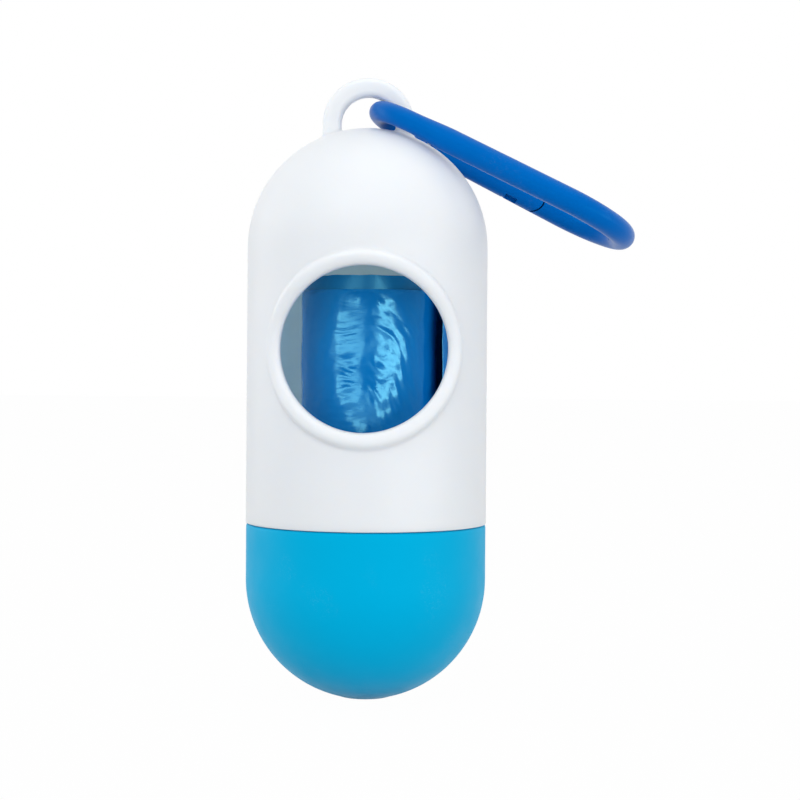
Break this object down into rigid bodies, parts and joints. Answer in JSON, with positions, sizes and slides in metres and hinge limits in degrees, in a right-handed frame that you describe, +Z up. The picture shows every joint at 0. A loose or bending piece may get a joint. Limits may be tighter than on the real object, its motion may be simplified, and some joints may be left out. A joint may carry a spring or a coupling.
{
  "type": "dog poop bag dispenser",
  "caption": "Capsule-shaped case with a screw cap that holds a roll of waste bags, drawn out through a round outlet, and hangs from a carabiner by its loop.",
  "frame": {"origin": "centre of the arch of the hang loop", "axes": "+Z up along the case's axis, +Y through the loop's eye from the front to the back, the round outlet faces -Y"},
  "size_m": [0.0653, 0.0417, 0.1045],
  "materials": {
    "white_plastic": "moulded white plastic, satin gloss",
    "cyan_plastic": "moulded cyan plastic, satin",
    "cardboard": "grey-brown paperboard, matt",
    "bag_film": "crinkled thin film, half gloss",
    "blue_plastic": "moulded blue plastic, half gloss",
    "steel": "bright steel"
  },
  "bodies": {
    "case": {"upper_shell": "white_plastic"},
    "core": {"core_tube": "cardboard"},
    "cap": {"lower_cap": "cyan_plastic"},
    "roll": {"bag_roll": "bag_film", "bag_lead": "bag_film"},
    "clip": {"carabiner_body": "blue_plastic", "gate_pin": "steel", "gate_spring": "steel"},
    "gate": {"carabiner_gate": "blue_plastic"}
  },
  "joints": [
    {"name": "cap_travel", "type": "slide", "parent": "case", "child": "core", "axis": [0, 0, -1], "range_m": [0, 0.01]},
    {"name": "cap_turn", "type": "hinge", "parent": "core", "child": "cap", "pos_m": [0, 0, -0.0675], "axis": [0, 0, -1], "range_deg": [0, 900]},
    {"name": "roll_spin", "type": "hinge", "parent": "core", "child": "roll", "pos_m": [0, 0, -0.0589], "axis": [0, 0, 1], "continuous": true},
    {"name": "carabiner_swing", "type": "hinge", "parent": "case", "child": "clip", "pos_m": [0.00185, 0, 0.00195], "axis": [0, -1, 0], "range_deg": [0, 222]},
    {"name": "gate_open", "type": "hinge", "parent": "clip", "child": "gate", "pos_m": [0.01148, 0.00787, -0.00325], "axis": [-0.4532, -0.0349, -0.8907], "range_deg": [0, 32], "stiffness_Nm_per_rad": 0.01, "springref_deg": -22.92, "deforming": ["gate_spring"]}
  ],
  "couplings": [
    {"joint": "cap_turn", "follows": "cap_travel", "rad_per_m": 1570.8}
  ]
}
